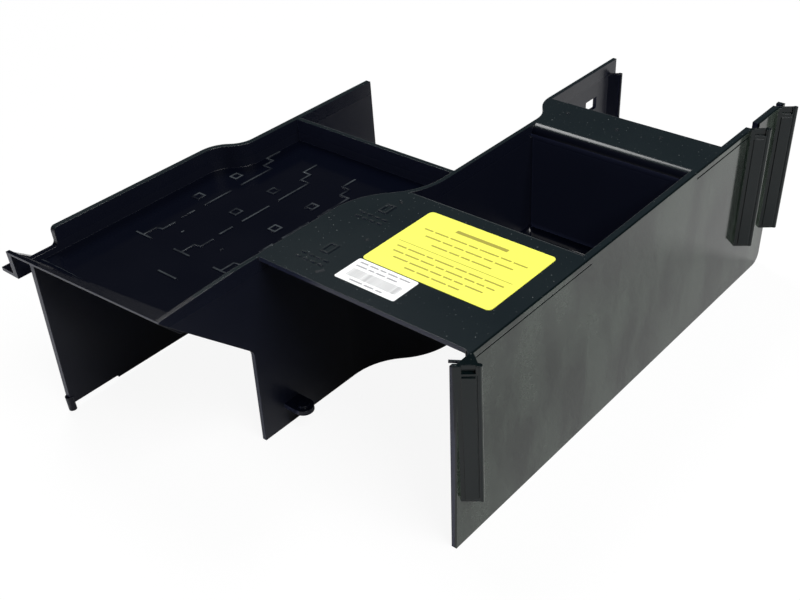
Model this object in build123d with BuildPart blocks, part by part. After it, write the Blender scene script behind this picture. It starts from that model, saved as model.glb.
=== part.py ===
"""Air baffle shroud for a two-unit rack server: one moulded body and two stuck labels.

Millimetres. X runs along the long side wall, Y across the tray, Z up.
The walls are laid out from the lower left corner of the long wall's outer face.
The finished pieces are then moved together, so that the origin is the middle of the footprint.
"""

import math
import os

from build123d import *

os.makedirs("parts", exist_ok=True)

# ---------------------------------------------------------------- driving dimensions
HEIGHT = 80.0  # floor of the chassis to the roof of the baffle
WALL = 2.0  # thickness of the pocket walls and the back rib
SHEET = 1.8  # thickness of the roof, the ledge and the tray floor
RAKE = 4.3  # how far the left end of each wall leans back over the full height

# long side wall, tapered on its inner side
LONG_X = 235.0  # length at the foot
LONG_HEAD = 3.3  # thickness at the top
LONG_FOOT = 2.2  # thickness at the bottom
LONG_CORNER = 5.0  # radius of the lower right corner
GROOVE_DROP = 2.2  # groove under the top edge of the outer face
GROOVE_SIZE = 0.5
HEAD_SKIN = 0.9  # what is left of the top beside the roof's front notch
HEAD_DROP = 7.5  # depth of that thin part
HEAD_WALL_X = 5.6  # where it starts
HEAD_SILL = 1.5  # how far the wall's left end is cut down beside it
HEAD_BAR = ((4.8, 4.1), (7.3, 0.2))  # thin bar across the cut
HEAD_BAR_SIZE = 0.8

# near wall, which steps sideways twice on its way along the part
NEAR_THICK = 1.9
NEAR_Y = 98.8  # first straight run, middle of the wall
NEAR_STEP_X = 53.0  # where the first step starts
NEAR_STEP_RUN = 44.0
DUCT_Y = 79.7  # second straight run
DUCT_STEP_X = 162.0
DUCT_STEP_RUN = 21.0
OUTLET_Y = 87.8  # last straight run
NEAR_OVERHANG = 2.0  # how far it runs past the long wall

# far wall, which steps once
FAR_THICK = 2.6
FAR_X = -35.7  # its left end at the foot
FAR_Y = 179.2
FAR_STEP_X = 57.5
FAR_STEP_RUN = 20.0
FAR_END_Y = 169.2
FAR_END_X = 151.0
FAR_LIFT = 2.4  # gap under the far wall
FAR_LIFT_LEFT = 3.4  # gap under its left end
FAR_LIFT_STEP_X = -11.0
FAR_SHOULDER_X = -19.4  # where the top drops to the level of the rim
FAR_SHOULDER_R = 2.0
FAR_RIM_LIFT = 2.4  # that level, above the tray
PEG_R = 1.7
PEG_HEIGHT = 6.8

# roof between the long wall and the near wall
ROOF_FRONT_X = 12.5
ROOF_NOTCH_R = 3.3  # round front notch beside the long wall
POCKET_X0 = 83.0
POCKET_X1 = 155.0
POCKET_FLOOR = 28.0
POCKET_R = 1.5  # upright corners
POCKET_FLOOR_R = 5.0
POCKET_LIP_FRONT = 3.5  # rounded edge from the roof into the pocket
POCKET_LIP_BACK = 5.0  # rounded edge from the ledge into the pocket
LEDGE_X1 = 182.7

# raised tray between the near wall and the far wall
TRAY_DROP = 10.0  # from the roof down to the tray
TRAY_BACK_X = 102.2
RIM_X = -34.6
RIM_THICK = 1.0
RIM_NEAR_DROP = 1.9  # below the roof at the near wall; the rim falls towards the hook
RIM_HOOK_LIFT = 2.8  # above the tray at the hook
RIM_NEAR_STEPS = (2.2, 1.7, 1.7, 1.7)  # terraces behind the rim, at the near wall
RIM_HOOK_STEPS = (1.6, 0.4, 0.4, 0.4)  # and at the hook
RIM_STEP_DROP = 0.5
RIM_RUNOUT = 0.7  # from the last terrace to the flat tray floor
ARM_Z = 43.0  # foot of the slanted edge at the left end of the near wall
ARM_R = 4.0

# hook beyond the far wall
HOOK_Y = 190.6
HOOK_BAR = 2.2  # width of the rim beyond the far wall
HOOK_BAR_THICK = 1.6
HOOK_THICK = 2.8
HOOK_LENGTH = 11.0
HOOK_DROP = 8.6  # from the tray down to its foot
HOOK_BACK = 4.0  # height of its back end
HOOK_LIP_X = 5.5
HOOK_LIP_Y = 7.9
HOOK_LIP_THICK = 1.6

# round foot tab on the near wall
TAB_X0 = 12.2
TAB_WIDTH = 8.4
TAB_REACH = 12.0
TAB_TOP = 11.0
TAB_THICK = 2.2
TAB_BUTTON_R = 2.4
TAB_BUTTON_H = 0.9

# slanted flaps that seal against the chassis
LONG_FLAP_RUN = 4.6  # along X, root to tip
LONG_FLAP_REACH = 6.1  # away from its wall
LONG_FLAP_FRONT_X = 4.6
LONG_FLAP_INSETS = (30.4, 4.8)  # roots of the other two, from the right end
LONG_FLAP_Z = (21.0, 23.8, 21.0)
LONG_FLAP_NOTCH = 6.0  # notch in the long wall's top behind a flap
LONG_FLAP_NOTCH_DROP = 3.0
OUTLET_FLAP_RUN = 3.7
OUTLET_FLAP_REACH = 4.9
OUTLET_FLAP_INSET = 5.5
OUTLET_FLAP_Z0 = 50.0
OUTLET_FLAP_DROP = 5.6  # from the roof down to its top
FLAP_THICK = 1.7
FLAP_ROOT = 2.0  # how deep a flap is rooted in its wall
FLAP_BEAD_R = 1.1
FLAP_PAD = 0.5  # raised panel on the face of a flap
FLAP_PAD_GAP = 0.9  # groove between the root and the panel
FLAP_PAD_TOP = 4.2  # plain strip above the panel
FLAP_PAD_FOOT = 1.2
FLAP_HEAD_DROP = 2.9  # the top of the face is cut back by FLAP_HEAD_CUT
FLAP_HEAD_CUT = 1.0

# rectangular window in the last run of the near wall
WINDOW_INSET = 18.8  # its middle, from the right end of the long wall
WINDOW_DROP = 15.7  # and from the roof
WINDOW_W = 9.0
WINDOW_H = 5.6

# raised marks
MARK_H = 0.4
MARK_W = 0.8
ROW_Y = (113.0, 135.6, 158.2)
ROW_BAR = ((7.3, -2.5), (7.3, 6.5))  # marks of one row, measured from the row's line
ROW_LEVER = ((7.3, 2.2), (14.0, 2.2), (14.6, -0.8), (21.2, -0.8))
ROW_DASHES = ((25.0, 32.0), (37.0, 52.0))
ROW_ZIGZAG = ((57.5, 0.2), (75.4, 0.2), (75.4, 4.9), (81.0, 4.9), (81.0, 8.8), (89.0, 8.8))
ROW_TICK = ((17.2, 13.6), (18.6, 13.6))
ROW_SQUARES = ((41.0, 7.8), (62.0, 7.8))
SQUARE_SIZE = 4.4
FRONT_TICK = ((-6.2, 124.8), (-6.2, 134.9))
ROOF_MARKS = ((31.5, 80.6), (65.1, 82.2))
ROOF_MARK_SIZE = (6.4, 4.2)
ROOF_STROKE_X = (-10.1, -7.1)  # short strokes beside a roof mark, measured from its middle
ROOF_STROKE_Y = (-6.0, -2.4, 1.2, 4.8)
ROOF_STROKE = 2.2
ROOF_TICKS = (
    ((17.1, 74.0), (20.0, 72.3)),
    ((71.9, 80.6), (72.9, 82.2)),
    ((43.4, 73.9), (44.6, 73.1)),
)
LEDGE_DOTS = ((172.1, 46.3), (175.5, 27.2), (173.6, 72.1))
DOT_R = 0.7

# labels
LABEL_THICK = 0.2
YELLOW_X = (33.5, 73.5)
YELLOW_Y = (9.5, 67.0)
YELLOW_R = 2.0
WHITE_X = (19.1, 33.0)
WHITE_Y = (39.4, 67.0)
WHITE_R = 0.8


# ---------------------------------------------------------------- places that follow from these
TRAY_TOP = HEIGHT - TRAY_DROP
TRAY_X = RIM_X + sum(RIM_NEAR_STEPS) + RIM_RUNOUT
RIM_NEAR_TOP = HEIGHT - RIM_NEAR_DROP
RIM_HOOK_TOP = TRAY_TOP + RIM_HOOK_LIFT
FAR_RIM_TOP = TRAY_TOP + FAR_RIM_LIFT
HOOK_FOOT = TRAY_TOP - HOOK_DROP
NEAR_END_X = LONG_X + NEAR_OVERHANG
LONG_FLAP_X = (LONG_FLAP_FRONT_X, *(LONG_X - inset for inset in LONG_FLAP_INSETS))
OUTLET_FLAP_X = NEAR_END_X - OUTLET_FLAP_INSET
OUTLET_FLAP_Z1 = HEIGHT - OUTLET_FLAP_DROP
WINDOW_X = LONG_X - WINDOW_INSET
WINDOW_Z = HEIGHT - WINDOW_DROP


# ---------------------------------------------------------------- plan lines of the walls
def side_step(start, run, rise):
    """Two equal arcs that leave and arrive along X; returns the arrival point."""
    radius = (run**2 + rise**2) / (4 * abs(rise))
    turn = math.degrees(2 * math.atan2(abs(rise), run))
    turn = math.copysign(turn, rise)
    first = JernArc(start=start, tangent=(1, 0), radius=radius, arc_size=turn)
    second = JernArc(start=first @ 1, tangent=first % 1, radius=radius, arc_size=-turn)
    return second @ 1


def near_line(start_x, end_x):
    """Middle line of the near wall, with both side steps."""
    Line((start_x, NEAR_Y), (NEAR_STEP_X, NEAR_Y))
    low = side_step((NEAR_STEP_X, NEAR_Y), NEAR_STEP_RUN, DUCT_Y - NEAR_Y)
    Line(low, (DUCT_STEP_X, DUCT_Y))
    high = side_step((DUCT_STEP_X, DUCT_Y), DUCT_STEP_RUN, OUTLET_Y - DUCT_Y)
    Line(high, (end_x, OUTLET_Y))


def far_line(start_x, end_x):
    """Middle line of the far wall, with its one side step."""
    Line((start_x, FAR_Y), (FAR_STEP_X, FAR_Y))
    low = side_step((FAR_STEP_X, FAR_Y), FAR_STEP_RUN, FAR_END_Y - FAR_Y)
    Line(low, (end_x, FAR_END_Y))


def span(x0, x1, y0, y1, mode=Mode.ADD):
    """Rectangle between two corners, in the sketch that is open."""
    with Locations(((x0 + x1) / 2, (y0 + y1) / 2)):
        Rectangle(x1 - x0, y1 - y0, mode=mode)


def block(x0, x1, y0, y1, z0, z1, mode=Mode.ADD):
    """Box between two corners, in the part that is open."""
    with Locations(((x0 + x1) / 2, (y0 + y1) / 2, (z0 + z1) / 2)):
        Box(x1 - x0, y1 - y0, z1 - z0, mode=mode)


def thick_line(points, z, width, height, mode=Mode.ADD):
    """Bar of one width along straight runs, standing on the level z."""
    with BuildSketch(Plane.XY.offset(z)) as bar:
        with BuildLine():
            Polyline(*points)
        trace(line_width=width)
    extrude(bar.sketch, amount=height, mode=mode)


def square_outline(centre, z, width, depth):
    """Raised outline of a rectangle on the level z."""
    with BuildSketch(Plane.XY.offset(z)) as outline:
        with Locations(centre):
            Rectangle(width, depth)
            Rectangle(width - 2 * MARK_W, depth - 2 * MARK_W, mode=Mode.SUBTRACT)
    extrude(outline.sketch, amount=MARK_H)


def flap_line(root_x, wall_y, run, reach):
    """Root of a slanted flap, the direction in which it stands out and the middle of its bead."""
    length = math.hypot(run, reach)
    along = Vector(run, -reach) / length
    root = Vector(root_x, wall_y)
    return root, along, root + along * (length - FLAP_BEAD_R)


def flap_blade(root, along, tip, z0, z1):
    """Slanted blade with a beaded tip, rooted in its wall."""
    with BuildSketch(Plane.XY.offset(z0)) as blade:
        with BuildLine():
            Line(root - along * FLAP_ROOT, tip)
        trace(line_width=FLAP_THICK)
        with Locations((tip.X, tip.Y)):
            Circle(FLAP_BEAD_R)
    extrude(blade.sketch, amount=z1 - z0)


def flap_face(root, along, tip, z0, z1):
    """Raised panel on the face of a blade, and the cut at the top of the face."""
    face = Vector(along.Y, -along.X) * (FLAP_THICK / 2)
    line = [(p.X, p.Y) for p in (root + along * FLAP_PAD_GAP + face, tip - along * FLAP_BEAD_R + face)]
    panel_z = z0 + FLAP_PAD_FOOT
    thick_line(line, panel_z, 2 * FLAP_PAD, z1 - FLAP_PAD_TOP - panel_z)
    thick_line(line, z1 - FLAP_HEAD_DROP, 2 * FLAP_HEAD_CUT, FLAP_HEAD_DROP, Mode.SUBTRACT)


def stuck_label(x_span, y_span, radius):
    """Thin label with round corners, lying on the roof."""
    with BuildSketch(Plane.XY.offset(HEIGHT)) as shape:
        with Locations((sum(x_span) / 2, sum(y_span) / 2)):
            RectangleRounded(x_span[1] - x_span[0], y_span[1] - y_span[0], radius)
    extrude(shape.sketch, amount=LABEL_THICK)


# ---------------------------------------------------------------- plan areas
with BuildSketch() as bay:  # between the long wall and the near wall
    with BuildLine():
        near_line(0, LONG_X)
        Polyline((LONG_X, OUTLET_Y), (LONG_X, 0), (0, 0), (0, NEAR_Y))
    make_face()

with BuildSketch() as tray_bay:  # between the near wall and the far wall
    with BuildLine():
        near_line(TRAY_X, LONG_X)
        Line((LONG_X, OUTLET_Y), (LONG_X, FAR_END_Y))
        far_line(TRAY_X, LONG_X)
        Line((TRAY_X, FAR_Y), (TRAY_X, NEAR_Y))
    make_face()
    span(TRAY_X, TRAY_BACK_X + WALL, DUCT_Y, FAR_Y, mode=Mode.INTERSECT)

# ---------------------------------------------------------------- the hollow pocket
with BuildPart() as pocket_space:
    with BuildSketch(Plane.XY.offset(POCKET_FLOOR)) as pocket_plan:
        add(bay.sketch)
        offset(amount=-NEAR_THICK / 2)
        span(POCKET_X0, POCKET_X1, LONG_HEAD, NEAR_Y, mode=Mode.INTERSECT)
    extrude(amount=HEIGHT - POCKET_FLOOR)
    fillet(pocket_space.edges().filter_by(Axis.Z), POCKET_R)
    fillet(pocket_space.faces().sort_by(Axis.Z)[0].edges(), POCKET_FLOOR_R)

with BuildPart() as pocket_lips:  # what the two rounded edges of the pocket take away
    with BuildSketch(Plane.XZ.offset(-NEAR_Y)):
        for edge_x, radius in ((POCKET_X0, -POCKET_LIP_FRONT), (POCKET_X1, POCKET_LIP_BACK)):
            centre = (edge_x + radius, HEIGHT - abs(radius))
            inside = edge_x - math.copysign(POCKET_R, radius)
            span(*sorted((inside, centre[0])), centre[1], HEIGHT)
            with Locations(centre):
                Circle(abs(radius), mode=Mode.SUBTRACT)
    extrude(amount=NEAR_Y)
    with BuildSketch() as inner_bay:
        add(bay.sketch)
        offset(amount=-NEAR_THICK / 2)
        span(0, LONG_X, LONG_HEAD, NEAR_Y, mode=Mode.INTERSECT)
    extrude(amount=HEIGHT, mode=Mode.INTERSECT)

# ---------------------------------------------------------------- long side wall
with BuildPart() as long_wall:
    with BuildSketch(Plane.YZ):
        Polygon((0, 0), (LONG_FOOT, 0), (LONG_HEAD, HEIGHT), (0, HEIGHT), align=None)
    extrude(amount=LONG_X)
    lower_right = long_wall.edges().filter_by(Axis.Y).group_by(Axis.X)[-1].sort_by(Axis.Z)[0]
    fillet(lower_right, LONG_CORNER)
    with BuildSketch(Plane.XZ):  # raked left end
        Polygon((0, 0), (RAKE, HEIGHT), (0, HEIGHT), align=None)
    extrude(amount=-LONG_HEAD, mode=Mode.SUBTRACT)
    block(0, HEAD_WALL_X, HEAD_SKIN, LONG_HEAD, HEIGHT - HEAD_SILL, HEIGHT, Mode.SUBTRACT)
    groove_z = HEIGHT - GROOVE_DROP
    block(ROOF_FRONT_X, LONG_FLAP_X[1], 0, GROOVE_SIZE, groove_z - GROOVE_SIZE, groove_z, Mode.SUBTRACT)
    for flap_x in LONG_FLAP_X[1:]:
        notch_x = min(flap_x + LONG_FLAP_NOTCH, LONG_X - WALL)
        block(flap_x, notch_x, 0, LONG_HEAD, HEIGHT - LONG_FLAP_NOTCH_DROP, HEIGHT, Mode.SUBTRACT)
    for flap_x, flap_z in zip(LONG_FLAP_X, LONG_FLAP_Z):
        blade_line = flap_line(flap_x, 0, LONG_FLAP_RUN, LONG_FLAP_REACH)
        flap_blade(*blade_line, flap_z, HEIGHT)
        flap_face(*blade_line, flap_z, HEIGHT)
    with BuildSketch(Plane.XY.offset(HEIGHT)):  # web behind the top of the front flap
        web_tip = flap_line(LONG_FLAP_X[0], 0, LONG_FLAP_RUN, LONG_FLAP_REACH)[-1]
        Polygon((LONG_FLAP_X[0], 0), (web_tip.X, web_tip.Y), (ROOF_FRONT_X, 0), align=None)
    extrude(amount=-SHEET)

# ---------------------------------------------------------------- near wall: arm, window, tab and flap
with BuildPart() as near_wall:
    with BuildSketch():
        with BuildLine():
            near_line(RIM_X, NEAR_END_X)
        trace(line_width=NEAR_THICK)
    extrude(amount=HEIGHT)
    with BuildSketch(Plane.XZ.offset(-NEAR_Y)) as arm_cut:
        arm_root = (RAKE * ARM_Z / HEIGHT, ARM_Z)
        Polygon((RIM_X, 0), (0, 0), arm_root, (RIM_X, RIM_NEAR_TOP - RIM_THICK), align=None)
        fillet(arm_cut.vertices().sort_by(Axis.X)[-1], ARM_R)
        Polygon((RIM_X, RIM_NEAR_TOP), (0, HEIGHT), (RIM_X, HEIGHT), align=None)
    extrude(amount=NEAR_THICK, both=True, mode=Mode.SUBTRACT)
    with BuildSketch(Plane.XZ.offset(-OUTLET_Y)):
        with Locations((WINDOW_X, WINDOW_Z)):
            Rectangle(WINDOW_W, WINDOW_H)
    extrude(amount=NEAR_THICK, both=True, mode=Mode.SUBTRACT)
    blade_line = flap_line(OUTLET_FLAP_X, OUTLET_Y - NEAR_THICK / 2, OUTLET_FLAP_RUN, OUTLET_FLAP_REACH)
    flap_blade(*blade_line, OUTLET_FLAP_Z0, OUTLET_FLAP_Z1)
    tab_middle = TAB_X0 + TAB_WIDTH / 2
    tab_end = NEAR_Y - TAB_REACH + TAB_WIDTH / 2
    with BuildSketch(Plane.XY.offset(TAB_TOP)):
        span(TAB_X0, TAB_X0 + TAB_WIDTH, tab_end, NEAR_Y)
        with Locations((tab_middle, tab_end)):
            Circle(TAB_WIDTH / 2)
    extrude(amount=-TAB_THICK)
    with BuildSketch(Plane.XY.offset(TAB_TOP)):
        with Locations((tab_middle, tab_end)):
            Circle(TAB_BUTTON_R)
    extrude(amount=TAB_BUTTON_H)

# ---------------------------------------------------------------- far wall: shoulder, lifted foot and peg
with BuildPart() as far_wall:
    with BuildSketch():
        with BuildLine():
            far_line(FAR_X, FAR_END_X)
        trace(line_width=FAR_THICK)
    extrude(amount=HEIGHT)
    with BuildSketch(Plane.XZ.offset(-FAR_Y)):
        span(FAR_X, FAR_SHOULDER_X, FAR_RIM_TOP, HEIGHT)
        Polygon((FAR_X, 0), (FAR_X + RAKE, HEIGHT), (FAR_X, HEIGHT), align=None)
    extrude(amount=FAR_THICK, both=True, mode=Mode.SUBTRACT)
    shoulder = far_wall.edges().filter_by(Axis.Y).filter_by_position(Axis.Z, FAR_RIM_TOP, HEIGHT)
    fillet(shoulder.filter_by_position(Axis.X, FAR_X + RAKE, FAR_SHOULDER_X), FAR_SHOULDER_R)
    block(FAR_X, FAR_END_X, FAR_END_Y - FAR_THICK, FAR_Y + FAR_THICK, 0, FAR_LIFT, Mode.SUBTRACT)
    block(FAR_X, FAR_LIFT_STEP_X, FAR_Y - FAR_THICK, FAR_Y + FAR_THICK, 0, FAR_LIFT_LEFT, Mode.SUBTRACT)
    with BuildSketch():
        with Locations((FAR_X + PEG_R / 2, FAR_Y)):
            Circle(PEG_R)
    extrude(amount=PEG_HEIGHT)

# ---------------------------------------------------------------- raised tray, rim, hook and back rib
with BuildPart() as rim:  # its top falls evenly from the near wall to the hook
    for y, top, steps in (
        (NEAR_Y, RIM_NEAR_TOP, RIM_NEAR_STEPS),
        (HOOK_Y, RIM_HOOK_TOP, RIM_HOOK_STEPS),
    ):
        points = [(RIM_X, top - RIM_THICK), (RIM_X, top)]
        for run in steps:
            x, z = points[-1]
            points += [(x + run, z), (x + run, z - RIM_STEP_DROP)]
        points += [(TRAY_X, TRAY_TOP), (TRAY_X, TRAY_TOP - SHEET)]
        with BuildSketch(Plane.XZ.offset(-y)):
            Polygon(*points, align=None)
    loft(ruled=True)
    block(RIM_X + HOOK_BAR, TRAY_X, FAR_Y, HOOK_Y, 0, HEIGHT, Mode.SUBTRACT)
    block(RIM_X, TRAY_X, FAR_Y, HOOK_Y, 0, RIM_HOOK_TOP - HOOK_BAR_THICK, Mode.SUBTRACT)

with BuildPart() as tray:
    with BuildSketch(Plane.XY.offset(TRAY_TOP)):
        add(tray_bay.sketch)
    extrude(amount=-SHEET)
    add(rim.part)
    block(TRAY_BACK_X, TRAY_BACK_X + WALL, DUCT_Y, FAR_END_Y, TRAY_TOP - SHEET, HEIGHT)
    with BuildSketch(Plane.XZ.offset(-HOOK_Y)):
        Polygon(
            (RIM_X, HOOK_FOOT),
            (RIM_X + HOOK_LENGTH, HOOK_FOOT),
            (RIM_X + HOOK_LENGTH, HOOK_FOOT + HOOK_BACK),
            (RIM_X + HOOK_BAR, RIM_HOOK_TOP - RIM_THICK),
            (RIM_X, RIM_HOOK_TOP - RIM_THICK / 2),
            align=None,
        )
    extrude(amount=HOOK_THICK)
    block(RIM_X, RIM_X + HOOK_LIP_X, HOOK_Y, HOOK_Y + HOOK_LIP_Y, HOOK_FOOT, HOOK_FOOT + HOOK_LIP_THICK)

# ---------------------------------------------------------------- raised marks
with BuildPart() as marks:
    for row_y in ROW_Y:
        for line in (ROW_BAR, ROW_LEVER, ROW_ZIGZAG):
            thick_line([(x, row_y + y) for x, y in line], TRAY_TOP, MARK_W, MARK_H)
        for x0, x1 in ROW_DASHES:
            thick_line([(x0, row_y), (x1, row_y)], TRAY_TOP, MARK_W, MARK_H)
        for x, y in ROW_SQUARES:
            square_outline((x, row_y + y), TRAY_TOP, SQUARE_SIZE, SQUARE_SIZE)
    for row_y in ROW_Y[:-1]:
        thick_line([(x, row_y + y) for x, y in ROW_TICK], TRAY_TOP, MARK_W, MARK_H)
    thick_line(FRONT_TICK, TRAY_TOP, MARK_W, MARK_H)
    for x, y in ROOF_MARKS:
        square_outline((x, y), HEIGHT, *ROOF_MARK_SIZE)
        for dx in ROOF_STROKE_X:
            for dy in ROOF_STROKE_Y:
                stroke = ((x + dx, y + dy), (x + dx, y + dy + ROOF_STROKE))
                thick_line(stroke, HEIGHT, MARK_W, MARK_H)
    for line in ROOF_TICKS:
        thick_line(line, HEIGHT, MARK_W, MARK_H)
    with BuildSketch(Plane.XY.offset(HEIGHT)):
        with Locations(*LEDGE_DOTS):
            Circle(DOT_R)
    extrude(amount=MARK_H)

# ---------------------------------------------------------------- moulded body
with BuildPart() as body:
    with BuildSketch(Plane.XY.offset(HEIGHT)):  # roof, pocket top and ledge in one sheet
        add(bay.sketch)
        span(ROOF_FRONT_X, LEDGE_X1, 0, NEAR_Y, mode=Mode.INTERSECT)
        span(ROOF_FRONT_X - ROOF_NOTCH_R, ROOF_FRONT_X, 0, HEAD_SKIN + ROOF_NOTCH_R)
    extrude(amount=-SHEET)
    with BuildSketch(Plane.XY.offset(POCKET_FLOOR - SHEET)):  # outside of the pocket
        add(bay.sketch)
        span(POCKET_X0 - WALL, POCKET_X1 + WALL, 0, NEAR_Y, mode=Mode.INTERSECT)
    extrude(amount=HEIGHT - POCKET_FLOOR + SHEET)
    add(long_wall.part)
    with BuildSketch(Plane.XY.offset(HEIGHT)):  # round notch between the roof and the thin head
        notch_x, notch_y = ROOF_FRONT_X - ROOF_NOTCH_R, HEAD_SKIN + ROOF_NOTCH_R
        with Locations((notch_x, notch_y)):
            Circle(ROOF_NOTCH_R)
        span(HEAD_WALL_X, notch_x, HEAD_SKIN, notch_y + ROOF_NOTCH_R)
    extrude(amount=-HEAD_DROP, mode=Mode.SUBTRACT)
    thick_line(HEAD_BAR, HEIGHT - HEAD_BAR_SIZE, HEAD_BAR_SIZE, HEAD_BAR_SIZE)
    add(near_wall.part)
    add(pocket_space.part, mode=Mode.SUBTRACT)
    add(pocket_lips.part, mode=Mode.SUBTRACT)
    add(far_wall.part)
    add(tray.part)
    add(marks.part)

# ---------------------------------------------------------------- labels
with BuildPart() as yellow_label:
    stuck_label(YELLOW_X, YELLOW_Y, YELLOW_R)

with BuildPart() as white_label:
    stuck_label(WHITE_X, WHITE_Y, WHITE_R)

# ---------------------------------------------------------------- pieces in the part's frame
middle = body.part.bounding_box().center()
for name, piece in (("baffle_body", body), ("yellow_label", yellow_label), ("white_label", white_label)):
    placed = piece.part.moved(Location((-middle.X, -middle.Y, 0)))
    placed.label = name
    export_step(placed, f"parts/{name}.step")
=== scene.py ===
"""Looks of the air baffle shroud: black moulded plastic, two stuck labels and their plain print."""

import math
import random

import bmesh
import bpy
from mathutils import Euler, Matrix, Vector


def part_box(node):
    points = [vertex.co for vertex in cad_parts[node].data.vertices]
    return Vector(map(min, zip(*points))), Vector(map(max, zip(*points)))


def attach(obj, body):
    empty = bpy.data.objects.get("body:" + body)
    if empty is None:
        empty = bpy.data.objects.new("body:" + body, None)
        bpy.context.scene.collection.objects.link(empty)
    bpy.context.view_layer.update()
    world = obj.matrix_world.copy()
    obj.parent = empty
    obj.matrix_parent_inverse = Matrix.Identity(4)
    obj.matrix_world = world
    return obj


MM = 0.001

# Camera: where it stands from the yellow label's low corner, and how it looks down.
CAMERA_FROM_LABEL = Vector((-230.5, -175.9, 201.9)) * MM
CAMERA_HEADING = math.radians(40.96)  # from +X towards +Y
CAMERA_PITCH = math.radians(40.59)  # below the horizon
CAMERA_ROLL = math.radians(-3.00)
CAMERA_LENS = 47.7  # millimetres
CAMERA_SENSOR = 36.0  # millimetres
CAMERA_SHIFT = (-0.05, 0.15)
CAMERA_NEAREST = 0.01  # metres

# Where the finishes, and the painted light and shade, of the moulded body change.
LABEL_FROM_WALL = 9.5 * MM  # from the flat outer wall to the yellow label
FLAP_START = 0.8 * MM  # depth behind the outer face from which all but that face is flap
TRAY_BELOW_ROOF = 10.0 * MM
MARK_HEIGHT = 0.4 * MM  # raised marks of the tray
MARK_FOOT = 0.2 * MM  # the painted highlight of a mark starts this far above the tray
LEVEL_SLACK = 0.1 * MM
ROOF_BAND = 1.0 * MM  # depth of the satin finish, and of its painted sheen, below the top
LIP_DEPTH = 6.0 * MM  # rounded edges of the pocket
SQUARE_ON = 0.95  # share of a face's unit normal that lies along an axis
MOSTLY_UP = 0.6
PARTLY_UP = 0.25

# Patterns of the moulded plastic; those in PER_M set how fine a noise is.
GRAIN_PER_M = 2600.0  # spark-eroded texture
MOTTLE_PER_M = 700.0  # fine speckle of the scuffed outer wall
CLOUD_PER_M = 28.0  # slow changes of gloss
SMUDGE_PER_M = 70.0  # wiped and handled patches of the outer wall
SPECK_PER_M = 1000.0  # pale dust
MARK_HIGHLIGHT_PER_M = 90.0  # how the painted highlight on the raised marks comes and goes
SMUDGE_TURN = (0.0, 0.7, 0.0)  # leans the wiped patches
SMUDGE_STRETCH = (1.0, 1.0, 0.35)
SMUDGE_SHARE = 0.60  # the rest of a scuff is mottle
SMUDGE_DETAIL = 6.0
FINE_DETAIL = 2.0
SPECK_DETAIL = 1.0
SPECK_LIMIT = 0.745  # only noise above this is a speck
SMUDGE_SPREAD = (0.40, 0.62)  # noise values that become 0 and 1
MOTTLE_SPREAD = (0.25, 0.75)
MARK_HIGHLIGHT_SPREAD = (0.38, 0.60)
LEAST_MARK_HIGHLIGHT = 0.1
EDGE_ROUND = 0.35 * MM
EDGE_SAMPLES = 6
PLASTIC_IOR = 1.33
BUMP_DEPTH = 0.05 * MM  # of the grain, and of the paper's ripple
BUMP_STRENGTH = 0.12

# Colours of the moulded plastic, each from its dark patches to its light ones. It is one plastic;
# these tones are lit and shaded copies of it, with painted light and shade.
# UPRIGHT: painted fill light, a lighter copy for upright faces that get little light.
UPRIGHT = ((0.0034, 0.0042, 0.0090), (0.0046, 0.0056, 0.0112))
# LEVEL: painted shade, a darker copy for level faces that stands in for their dark reflections.
LEVEL = ((0.0010, 0.0016, 0.0046), (0.0018, 0.0024, 0.0060))
LEFTWARD_PAINTED_LIGHT = ((0.0150, 0.0180, 0.0380), (0.0180, 0.0215, 0.0450))  # faces that look along -X, painted light where the lamps don't reach them
# SATIN_AND_PAINTED_SHEEN: the satin top, painted lighter as a painted sheen.
SATIN_AND_PAINTED_SHEEN = ((0.0058, 0.0098, 0.0122), (0.0098, 0.0148, 0.0172))
# FLAP: painted shade, a darker and greener copy for the flaps that stands in for their dark
# reflections.
FLAP = ((0.0010, 0.0034, 0.0042), (0.0016, 0.0048, 0.0056))
# OUTER_WALL: scuffs, and a lighter tone that paints in part of the wall's reflection of the floor.
OUTER_WALL = ((0.0024, 0.0044, 0.0034), (0.0310, 0.0410, 0.0325))
# Painted highlight on the tops of the tray's raised marks.
MARK_HIGHLIGHT = (0.045, 0.052, 0.058)
DUST = (0.10, 0.11, 0.11)

# Roughness, over the same patches.
UPRIGHT_ROUGH = (0.26, 0.36)
LEVEL_ROUGH = (0.10, 0.15)
LIP_ROUGH = (0.22, 0.28)
SATIN_ROUGH = (0.15, 0.21)
FLAP_ROUGH = (0.12, 0.17)
OUTER_WALL_ROUGH = (0.04, 0.11)

# Labels: paper and ink, each with its duller tone.
YELLOW_PAPER = ((0.82, 0.83, 0.095), (0.77, 0.77, 0.080))
WHITE_PAPER = ((0.88, 0.89, 0.88), (0.83, 0.84, 0.83))
OLIVE_INK = ((0.26, 0.23, 0.020), (0.38, 0.34, 0.030))
GREY_INK = ((0.24, 0.24, 0.25), (0.38, 0.38, 0.39))
PATCHES_PER_M = 90.0
RIPPLE_PER_M = 700.0
COVER_PER_M = 3000.0
PAPER_ROUGH = (0.38, 0.55)
INK_ROUGH = 0.5
INK_HEIGHT = 0.04 * MM

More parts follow.
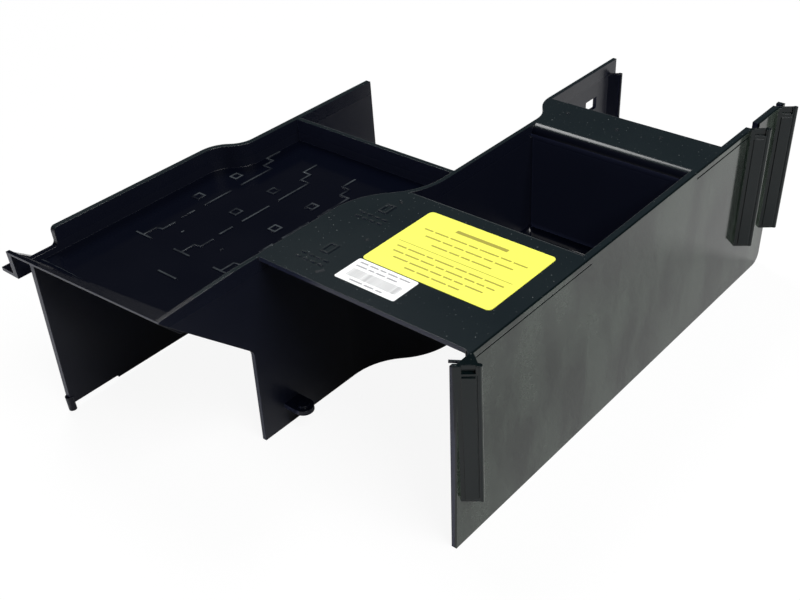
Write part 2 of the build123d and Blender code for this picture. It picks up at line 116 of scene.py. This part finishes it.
# Print, in millimetres on a label that reads along -Y: down from its edge at high X, and
# along from its end at high Y.
YELLOW_TITLE = (5.4, 7.2, 17.0, 40.5)  # top, bottom, left and right
YELLOW_RULE = (22.55, 22.85, 3.2, 54.3)
YELLOW_ROWS = (  # middle, left, right, number of dashes
    (11.3, 6.0, 52.5, 7),
    (15.2, 9.5, 49.0, 6),
    (19.1, 15.5, 42.5, 4),
    (25.9, 5.0, 53.0, 7),
    (29.3, 6.0, 51.5, 8),
    (32.7, 9.0, 49.0, 6),
    (36.1, 17.0, 41.5, 4),
)
WHITE_ROWS = ((1.9, 2.0, 25.0, 5), (4.2, 2.0, 21.0, 4), (12.3, 6.0, 21.0, 3))
WHITE_STRIPES = (6.0, 10.8, 2.2, 25.4)
ROW_HEIGHT = 0.75 * MM
DASH_GAP = 0.9 * MM
DASH_WEIGHTS = (0.5, 1.6)
STRIPE_WIDTHS = (0.18, 0.3, 0.45)  # millimetres
STRIPE_GAPS = (0.2, 0.35, 0.5)
STRIPES_END = 0.5 * MM  # no stripe starts closer than this to the end
PRINT_SEED = 7

# Stage.
FLOOR_RADIUS = 6.0
FLOOR_SIDES = 64
FLOOR_DROP = 0.02 * MM
FLOOR_PAINT = (0.86, 0.86, 0.86, 1.0)
FLOOR_EVEN = (0.92, 1.0)  # share of even white, near the shroud and far from it
FLOOR_FADE = (0.3, 1.2)  # metres from the middle over which it changes
GLOSS_SHARE = 0.05
# The room is pale up to the first height of a ray's direction and dim above the second.
ROOM_BAND = (("From Min", 0.05), ("From Max", 0.22), ("To Min", 0.7), ("To Max", 0.03))
LAMP_AIM = Vector((0, 0, 0.04))
LAMPS = (  # name, place, size, power
    ("lamp_back", (0.39, 0.76, 1.35), 0.6, 14.0),
    ("lamp_front", (-0.1, -0.9, 1.3), 0.9, 28.0),
)


def node_of(tree, kind, **sockets):
    """New shader node with the given input values; an underscore stands for a space."""
    node = tree.nodes.new(kind)
    for name, value in sockets.items():
        node.inputs[name.replace("_", " ")].default_value = value
    return node


def maths(tree, operation, first, second):
    """Math node on two values or sockets; returns its result."""
    node = tree.nodes.new("ShaderNodeMath")
    node.operation = operation
    for slot, value in enumerate((first, second)):
        if isinstance(value, bpy.types.NodeSocket):
            tree.links.new(value, node.inputs[slot])
        else:
            node.inputs[slot].default_value = value
    return node.outputs[0]


def between(tree, factor, low, high, start=0.0, end=1.0):
    """Spreads a value that runs from start to end over the range from low to high."""
    node = tree.nodes.new("ShaderNodeMapRange")
    tree.links.new(factor, node.inputs["Value"])
    node.inputs["From Min"].default_value = start
    node.inputs["From Max"].default_value = end
    node.inputs["To Min"].default_value = low
    node.inputs["To Max"].default_value = high
    return node.outputs["Result"]


def mixed(tree, factor, first, second):
    """Mix of two numbers, both given as sockets."""
    node = tree.nodes.new("ShaderNodeMix")
    tree.links.new(factor, node.inputs["Factor"])
    tree.links.new(first, node.inputs["A"])
    tree.links.new(second, node.inputs["B"])
    return node.outputs["Result"]


def noise(tree, place, per_metre, detail=4.0):
    """Noise on the piece's own coordinates."""
    node = node_of(tree, "ShaderNodeTexNoise", Scale=per_metre, Detail=detail)
    tree.links.new(place, node.inputs["Vector"])
    return node.outputs[0]


def blend_colour(tree, factor, first, second):
    """Mix of two colours, each a tuple or a socket."""
    node = tree.nodes.new("ShaderNodeMix")
    node.data_type = "RGBA"
    tree.links.new(factor, node.inputs["Factor"])
    for socket, colour in ((node.inputs[6], first), (node.inputs[7], second)):
        if isinstance(colour, bpy.types.NodeSocket):
            tree.links.new(colour, socket)
        else:
            socket.default_value = (*colour, 1.0)
    return node.outputs[2]


def new_material(name):
    """Empty material with a Principled shader; returns the material, its tree and the shader."""
    material = bpy.data.materials.new(name)
    material.use_nodes = True
    tree = material.node_tree
    return material, tree, tree.nodes["Principled BSDF"]


def moulded_plastic(wall_face_y, roof_z, tray_z):
    """Black plastic: satin on top, polished where level, dull upright, scuffed outside; its colour
    is painted in lit and shaded copies by face and place.
    """
    material, tree, shader = new_material("black_moulded_plastic")
    place = tree.nodes.new("ShaderNodeTexCoord").outputs["Object"]
    geometry = tree.nodes.new("ShaderNodeNewGeometry")
    at = tree.nodes.new("ShaderNodeSeparateXYZ")
    tree.links.new(place, at.inputs[0])
    facing = tree.nodes.new("ShaderNodeSeparateXYZ")
    tree.links.new(geometry.outputs["True Normal"], facing.inputs[0])

    def above(part, axis, limit):
        return maths(tree, "GREATER_THAN", part.outputs[axis], limit)

    def below(part, axis, limit):
        return maths(tree, "LESS_THAN", part.outputs[axis], limit)

    def both(first, second):
        return maths(tree, "MULTIPLY", first, second)

    outside = below(at, "Y", wall_face_y + FLAP_START)
    outer_wall = both(below(facing, "Y", -SQUARE_ON), outside)
    upward = above(facing, "Z", MOSTLY_UP)
    satin = both(upward, above(at, "Z", roof_z - ROOF_BAND))
    level = above(facing, "Z", PARTLY_UP)
    lip = above(at, "Z", roof_z - LIP_DEPTH)
    # Faces looking along -X, which get painted light.
    leftward = below(facing, "X", -SQUARE_ON)
    above_tray = above(at, "Z", tray_z + MARK_FOOT)
    below_mark_top = below(at, "Z", tray_z + MARK_HEIGHT + LEVEL_SLACK)
    mark_top = both(both(above_tray, below_mark_top), upward)

    cloud = noise(tree, place, CLOUD_PER_M)
    wiped = node_of(tree, "ShaderNodeMapping", Rotation=SMUDGE_TURN, Scale=SMUDGE_STRETCH)
    tree.links.new(place, wiped.inputs["Vector"])
    smudge_noise = noise(tree, wiped.outputs[0], SMUDGE_PER_M, SMUDGE_DETAIL)
    smudge = between(tree, smudge_noise, 0.0, 1.0, *SMUDGE_SPREAD)
    mottle_noise = noise(tree, place, MOTTLE_PER_M, FINE_DETAIL)
    mottle = between(tree, mottle_noise, 0.0, 1.0, *MOTTLE_SPREAD)
    scuffs_and_painted_reflection = maths(
        tree,
        "ADD",
        maths(tree, "MULTIPLY", smudge, SMUDGE_SHARE),
        maths(tree, "MULTIPLY", mottle, 1.0 - SMUDGE_SHARE),
    )
    specks = maths(tree, "GREATER_THAN", noise(tree, place, SPECK_PER_M, SPECK_DETAIL), SPECK_LIMIT)
    mark_highlight = between(tree, noise(tree, place, MARK_HIGHLIGHT_PER_M), LEAST_MARK_HIGHLIGHT, 1.0, *MARK_HIGHLIGHT_SPREAD)

    # Each finish covers the ones before it where its mask is 1; the colours carry painted light
    # upright and on faces looking along -X, painted shade where level and on the flaps, and a
    # painted sheen on the satin top.
    colour = blend_colour(tree, cloud, *UPRIGHT)
    for mask, tones in ((level, LEVEL), (leftward, LEFTWARD_PAINTED_LIGHT), (satin, SATIN_AND_PAINTED_SHEEN), (outside, FLAP)):
        colour = blend_colour(tree, mask, colour, blend_colour(tree, cloud, *tones))
    # The outer wall: scuffs, whose lighter tone is partly painted reflection.
    colour = blend_colour(tree, outer_wall, colour, blend_colour(tree, scuffs_and_painted_reflection, *OUTER_WALL))
    # Painted highlight on the tops of the tray's raised marks.
    colour = blend_colour(tree, both(mark_top, mark_highlight), colour, MARK_HIGHLIGHT)
    colour = blend_colour(tree, both(specks, satin), colour, DUST)
    tree.links.new(colour, shader.inputs["Base Color"])

    rough = between(tree, cloud, *UPRIGHT_ROUGH)
    for mask, pattern, limits in (
        (level, cloud, LEVEL_ROUGH),
        (lip, cloud, LIP_ROUGH),
        (satin, cloud, SATIN_ROUGH),
        (outside, cloud, FLAP_ROUGH),
        (outer_wall, mottle, OUTER_WALL_ROUGH),
    ):
        rough = mixed(tree, mask, rough, between(tree, pattern, *limits))
    tree.links.new(rough, shader.inputs["Roughness"])
    shader.inputs["IOR"].default_value = PLASTIC_IOR

    rounded = node_of(tree, "ShaderNodeBevel", Radius=EDGE_ROUND)
    rounded.samples = EDGE_SAMPLES
    bump = node_of(tree, "ShaderNodeBump", Strength=BUMP_STRENGTH, Distance=BUMP_DEPTH)
    tree.links.new(noise(tree, place, GRAIN_PER_M, FINE_DETAIL), bump.inputs["Height"])
    tree.links.new(rounded.outputs[0], bump.inputs["Normal"])
    tree.links.new(bump.outputs[0], shader.inputs["Normal"])
    return material


def label_paper(name, colour, shade):
    """Coated paper: an even colour that is a little duller in patches, with a faint ripple."""
    material, tree, shader = new_material(name)
    place = tree.nodes.new("ShaderNodeTexCoord").outputs["Object"]
    patches = noise(tree, place, PATCHES_PER_M)
    tree.links.new(blend_colour(tree, patches, colour, shade), shader.inputs["Base Color"])
    tree.links.new(between(tree, patches, *PAPER_ROUGH), shader.inputs["Roughness"])
    ripple = node_of(tree, "ShaderNodeBump", Strength=BUMP_STRENGTH, Distance=BUMP_DEPTH)
    tree.links.new(noise(tree, place, RIPPLE_PER_M), ripple.inputs["Height"])
    tree.links.new(ripple.outputs[0], shader.inputs["Normal"])
    return material


def printed_ink(name, colour, faded):
    """Ink with slightly uneven cover."""
    material, tree, shader = new_material(name)
    place = tree.nodes.new("ShaderNodeTexCoord").outputs["Object"]
    cover = noise(tree, place, COVER_PER_M, FINE_DETAIL)
    tree.links.new(blend_colour(tree, cover, colour, faded), shader.inputs["Base Color"])
    shader.inputs["Roughness"].default_value = INK_ROUGH
    return material


def lay_print(name, label_top, bars, material):
    """One piece of flat ink bars on a label; each bar is x0, x1, y0, y1 in metres."""
    mesh = bmesh.new()
    for x0, x1, y0, y1 in bars:
        middle = Vector(((x0 + x1) / 2, (y0 + y1) / 2, label_top))
        size = Matrix.Diagonal((x1 - x0, y1 - y0, 2 * INK_HEIGHT, 1.0))
        bmesh.ops.create_cube(mesh, size=1.0, matrix=Matrix.Translation(middle) @ size)
    data = bpy.data.meshes.new(name)
    mesh.to_mesh(data)
    mesh.free()
    data.materials.append(material)
    piece = bpy.data.objects.new(name, data)
    bpy.context.scene.collection.objects.link(piece)
    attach(piece, "root")
    return piece


def patch(high, place):
    """Bar on a label, from its top, bottom, left and right in millimetres."""
    top, bottom, left, right = (value * MM for value in place)
    return high[0] - bottom, high[0] - top, high[1] - right, high[1] - left


def dashes(x0, x1, y0, y1, pieces, rng):
    """A row of uneven dashes along Y, as a stand-in for a printed line."""
    bars = []
    weights = [rng.uniform(*DASH_WEIGHTS) for _ in range(pieces)]
    unit = (y1 - y0 - DASH_GAP * (pieces - 1)) / sum(weights)
    start = y0
    for weight in weights:
        bars.append((x0, x1, start, start + weight * unit))
        start += weight * unit + DASH_GAP
    return bars


def stripes(x0, x1, y0, y1, rng):
    """Upright stripes of uneven width, side by side along Y."""
    bars = []
    start = y0
    while start < y1 - STRIPES_END:
        width = rng.choice(STRIPE_WIDTHS) * MM
        bars.append((x0, x1, start, start + width))
        start += width + rng.choice(STRIPE_GAPS) * MM
    return bars


def rows_on(high, rows, rng):
    """Rows of dashes on a label."""
    bars = []
    for down, left, right, pieces in rows:
        middle = high[0] - down * MM
        low_x, high_x = middle - ROW_HEIGHT / 2, middle + ROW_HEIGHT / 2
        bars += dashes(low_x, high_x, high[1] - right * MM, high[1] - left * MM, pieces, rng)
    return bars


def dress(node, material):
    """Puts one material on a carried-over node."""
    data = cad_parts[node].data
    data.materials.clear()
    data.materials.append(material)


# ---------------------------------------------------------------- frame and finishes
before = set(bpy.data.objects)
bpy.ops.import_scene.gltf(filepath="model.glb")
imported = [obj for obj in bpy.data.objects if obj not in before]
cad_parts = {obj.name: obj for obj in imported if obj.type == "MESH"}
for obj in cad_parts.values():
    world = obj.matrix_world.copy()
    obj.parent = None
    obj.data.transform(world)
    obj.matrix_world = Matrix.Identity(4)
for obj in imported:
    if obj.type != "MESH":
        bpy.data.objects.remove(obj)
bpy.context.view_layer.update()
rng = random.Random(PRINT_SEED)

yellow_low, yellow_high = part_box("yellow_label")
white_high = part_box("white_label")[1]
wall_face_y = yellow_low[1] - LABEL_FROM_WALL
roof_z = yellow_low[2]  # the labels lie on the roof

dress("baffle_body", moulded_plastic(wall_face_y, roof_z, roof_z - TRAY_BELOW_ROOF))
dress("yellow_label", label_paper("yellow_label_paper", *YELLOW_PAPER))
dress("white_label", label_paper("white_label_paper", *WHITE_PAPER))

# ---------------------------------------------------------------- plain print on the labels
yellow_bars = rows_on(yellow_high, YELLOW_ROWS, rng)
yellow_bars += [patch(yellow_high, YELLOW_TITLE), patch(yellow_high, YELLOW_RULE)]
lay_print("yellow_label_print", yellow_high[2], yellow_bars, printed_ink("olive_ink", *OLIVE_INK))

white_bars = rows_on(white_high, WHITE_ROWS, rng)
white_bars += stripes(*patch(white_high, WHITE_STRIPES), rng)
lay_print("white_label_print", white_high[2], white_bars, printed_ink("grey_ink", *GREY_INK))


# ---------------------------------------------------------------- stage
def pale_floor():
    """White floor that keeps the shadow: mostly even white to the camera, barely in gloss."""
    material = bpy.data.materials.new("pale_floor")
    material.use_nodes = True
    tree = material.node_tree
    tree.nodes.remove(tree.nodes["Principled BSDF"])
    paint = node_of(tree, "ShaderNodeBsdfDiffuse", Color=FLOOR_PAINT)
    glow = node_of(tree, "ShaderNodeEmission", Strength=1.0)
    path = tree.nodes.new("ShaderNodeLightPath")
    gloss, through = path.outputs["Is Glossy Ray"], path.outputs["Is Transmission Ray"]
    in_gloss = maths(tree, "MULTIPLY", maths(tree, "MAXIMUM", gloss, through), GLOSS_SHARE)
    away = tree.nodes.new("ShaderNodeVectorMath")
    away.operation = "LENGTH"
    tree.links.new(tree.nodes.new("ShaderNodeNewGeometry").outputs["Position"], away.inputs[0])
    even = between(tree, away.outputs["Value"], *FLOOR_EVEN, *FLOOR_FADE)
    to_camera = maths(tree, "MULTIPLY", path.outputs["Is Camera Ray"], even)
    share = maths(tree, "MAXIMUM", to_camera, in_gloss)
    mix = tree.nodes.new("ShaderNodeMixShader")
    tree.links.new(share, mix.inputs[0])
    tree.links.new(paint.outputs[0], mix.inputs[1])
    tree.links.new(glow.outputs[0], mix.inputs[2])
    tree.links.new(mix.outputs[0], tree.nodes["Material Output"].inputs["Surface"])
    return material


def lay_floor():
    """Large round floor under the shroud."""
    mesh = bmesh.new()
    bmesh.ops.create_circle(mesh, cap_ends=True, segments=FLOOR_SIDES, radius=FLOOR_RADIUS)
    data = bpy.data.meshes.new("floor")
    mesh.to_mesh(data)
    mesh.free()
    data.materials.append(pale_floor())
    floor = bpy.data.objects.new("floor", data)
    floor.location.z = -FLOOR_DROP
    bpy.context.scene.collection.objects.link(floor)


def hang_lamp(name, place, size, power):
    """Square soft lamp that points at the middle of the shroud."""
    data = bpy.data.lights.new(name, "AREA")
    data.shape = "SQUARE"
    data.size = size
    data.energy = power
    lamp = bpy.data.objects.new(name, data)
    lamp.location = place
    lamp.rotation_euler = (LAMP_AIM - Vector(place)).to_track_quat("-Z", "Y").to_euler()
    bpy.context.scene.collection.objects.link(lamp)


def light_room():
    """Dim room, pale low down and white to the camera, with a lamp in front and one behind."""
    world = bpy.data.worlds.new("room")
    bpy.context.scene.world = world
    world.use_nodes = True
    tree = world.node_tree
    height = tree.nodes.new("ShaderNodeSeparateXYZ")
    tree.links.new(tree.nodes.new("ShaderNodeTexCoord").outputs["Generated"], height.inputs[0])
    low = tree.nodes.new("ShaderNodeMapRange")
    tree.links.new(height.outputs["Z"], low.inputs["Value"])
    for name, value in ROOM_BAND:
        low.inputs[name].default_value = value
    seen = tree.nodes.new("ShaderNodeLightPath").outputs["Is Camera Ray"]
    brightness = maths(tree, "MAXIMUM", low.outputs["Result"], seen)
    tree.links.new(brightness, tree.nodes["Background"].inputs["Color"])
    for lamp in LAMPS:
        hang_lamp(*lamp)


def set_camera():
    """Camera at its place, looking down along the shroud."""
    data = bpy.data.cameras.new("camera")
    data.sensor_width = CAMERA_SENSOR
    data.lens = CAMERA_LENS
    data.shift_x, data.shift_y = CAMERA_SHIFT
    data.clip_start = CAMERA_NEAREST
    camera = bpy.data.objects.new("camera", data)
    level = Euler((math.pi / 2 - CAMERA_PITCH, 0, CAMERA_HEADING - math.pi / 2)).to_matrix()
    turn = level @ Matrix.Rotation(CAMERA_ROLL, 3, "Z")
    camera.matrix_world = Matrix.Translation(Vector(yellow_low) + CAMERA_FROM_LABEL) @ turn.to_4x4()
    bpy.context.scene.collection.objects.link(camera)
    bpy.context.scene.camera = camera


lay_floor()
light_room()
set_camera()
bpy.context.scene.view_settings.view_transform = "Standard"
